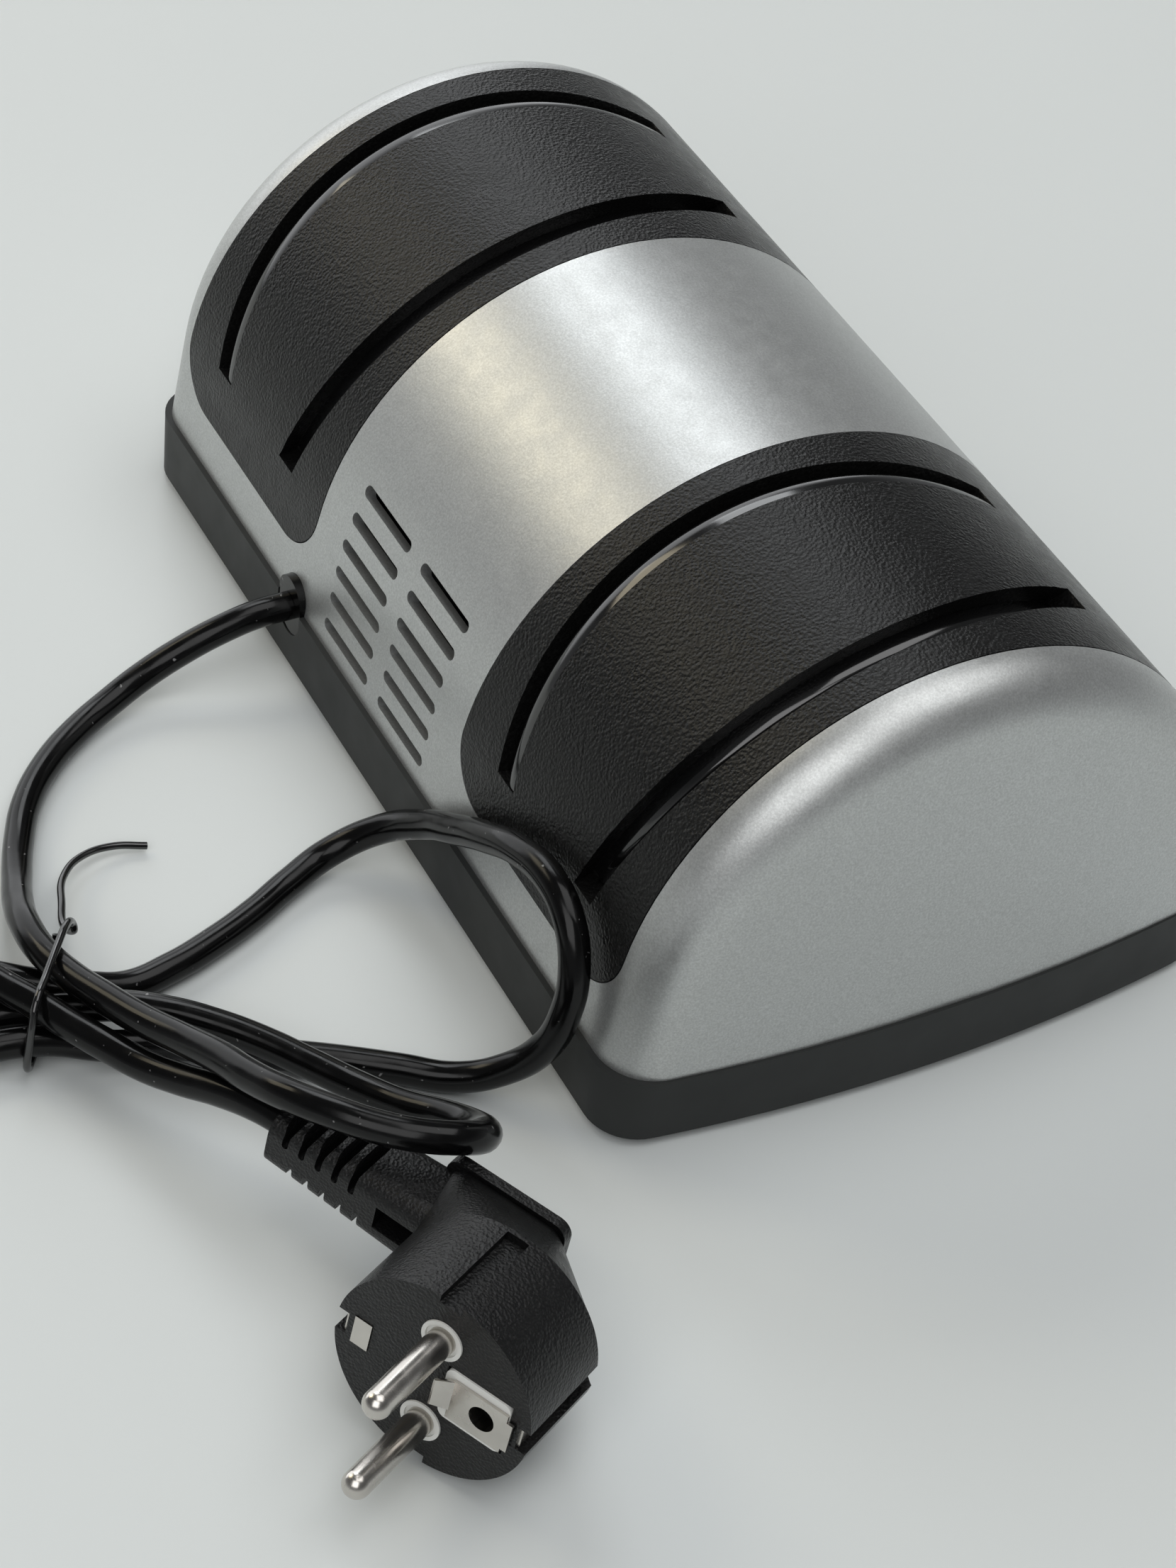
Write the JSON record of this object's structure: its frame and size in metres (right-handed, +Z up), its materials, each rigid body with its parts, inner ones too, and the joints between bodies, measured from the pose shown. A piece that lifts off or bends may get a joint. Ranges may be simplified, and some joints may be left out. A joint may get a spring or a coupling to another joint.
{
  "type": "electric knife sharpener",
  "caption": "Arched two-stage electric knife sharpener with slotted black guide covers over sprung grinding wheels, a motor, a rocker switch and a mains lead.",
  "frame": {"origin": "bottom centre of the bounding box without the cord and plug, on the table", "axes": "+Z up, +X along the body's length, +Y towards the side with the cord and the vents"},
  "size_m": [0.2655, 0.271, 0.0855],
  "materials": {
    "band_plastic": "smooth matte dark grey plastic",
    "silver_paint": "satin metallic silver paint with a fine orange peel",
    "grained_black": "black plastic with a fine leather grain",
    "rail_black": "smooth glossy black plastic",
    "foot_rubber": "matte black rubber",
    "screw_steel": "zinc-plated steel",
    "rocker_black": "satin black plastic",
    "cord_pvc": "smooth satin black PVC",
    "clamp_plastic": "natural nylon",
    "core_steel": "oiled electrical steel laminations",
    "bobbin_plastic": "natural nylon",
    "copper_wire": "enamelled copper winding",
    "bracket_zinc": "die-cast zinc",
    "bushing_bronze": "sintered bronze",
    "magnet_ferrite": "grey-black ferrite",
    "shaft_steel": "ground steel",
    "fan_plastic": "off-white plastic",
    "coarse_grit": "brown coarse abrasive",
    "fine_grit": "off-white fine abrasive",
    "spring_steel": "spring steel",
    "plug_black": "black PVC with a fine grain",
    "carrier_white": "white plastic",
    "pin_nickel": "nickel-plated brass"
  },
  "bodies": {
    "casing": {"base_tray": "band_plastic", "upper_housing": "silver_paint", "coarse_guide_cover": "grained_black", "fine_guide_cover": "grained_black", "coarse_blade_rails": "rail_black", "fine_blade_rails": "rail_black", "rubber_feet": "foot_rubber", "housing_screws": "screw_steel", "switch_frame": "rocker_black", "switch_terminals": "bushing_bronze", "cord_gland": "cord_pvc", "cord_clamp": "clamp_plastic", "clamp_screws": "screw_steel", "inner_cord": "cord_pvc", "stator_core": "core_steel", "coil_bobbin": "bobbin_plastic", "coil_winding": "copper_wire", "left_motor_bracket": "bracket_zinc", "right_motor_bracket": "bracket_zinc", "left_bushing": "bushing_bronze", "right_bushing": "bushing_bronze", "core_screws": "screw_steel", "motor_screws": "screw_steel", "filings_magnets": "magnet_ferrite", "cord_lead": "cord_pvc", "cord_loops": "cord_pvc", "cord_tie": "rail_black", "plug_body": "plug_black", "plug_insert": "carrier_white", "plug_pins": "pin_nickel", "earth_contact": "pin_nickel"},
    "rotor": {"drive_shaft": "shaft_steel", "rotor_core": "core_steel", "cooling_fan": "fan_plastic", "shaft_collars": "screw_steel", "coarse_spring": "spring_steel", "fine_spring": "spring_steel"},
    "coarse_outer_grinder": {"coarse_outer_wheel": "coarse_grit"},
    "coarse_inner_grinder": {"coarse_inner_wheel": "coarse_grit"},
    "fine_inner_grinder": {"fine_inner_wheel": "fine_grit"},
    "fine_outer_grinder": {"fine_outer_wheel": "fine_grit"},
    "rocker": {"rocker_button": "rocker_black"}
  },
  "joints": [
    {"name": "rotor_spin", "type": "hinge", "parent": "casing", "child": "rotor", "pos_m": [0, 0, 0.047], "axis": [1, 0, 0], "continuous": true},
    {"name": "coarse_outer_wheel_slide", "type": "slide", "parent": "rotor", "child": "coarse_outer_grinder", "axis": [1, 0, 0], "range_m": [0, 0.0015], "stiffness_N_per_m": 900, "springref_m": -0.002, "deforming": ["coarse_spring"]},
    {"name": "coarse_inner_wheel_slide", "type": "slide", "parent": "rotor", "child": "coarse_inner_grinder", "axis": [-1, 0, 0], "range_m": [0, 0.0015], "stiffness_N_per_m": 900, "springref_m": -0.002, "deforming": ["coarse_spring"]},
    {"name": "fine_inner_wheel_slide", "type": "slide", "parent": "rotor", "child": "fine_inner_grinder", "axis": [1, 0, 0], "range_m": [0, 0.0015], "stiffness_N_per_m": 900, "springref_m": -0.002, "deforming": ["fine_spring"]},
    {"name": "fine_outer_wheel_slide", "type": "slide", "parent": "rotor", "child": "fine_outer_grinder", "axis": [-1, 0, 0], "range_m": [0, 0.0015], "stiffness_N_per_m": 900, "springref_m": -0.002, "deforming": ["fine_spring"]},
    {"name": "rocker_tilt", "type": "hinge", "parent": "casing", "child": "rocker", "pos_m": [0, -0.0582, 0.02473], "axis": [0, -0.1343, -0.9909], "range_deg": [0, 20]}
  ]
}
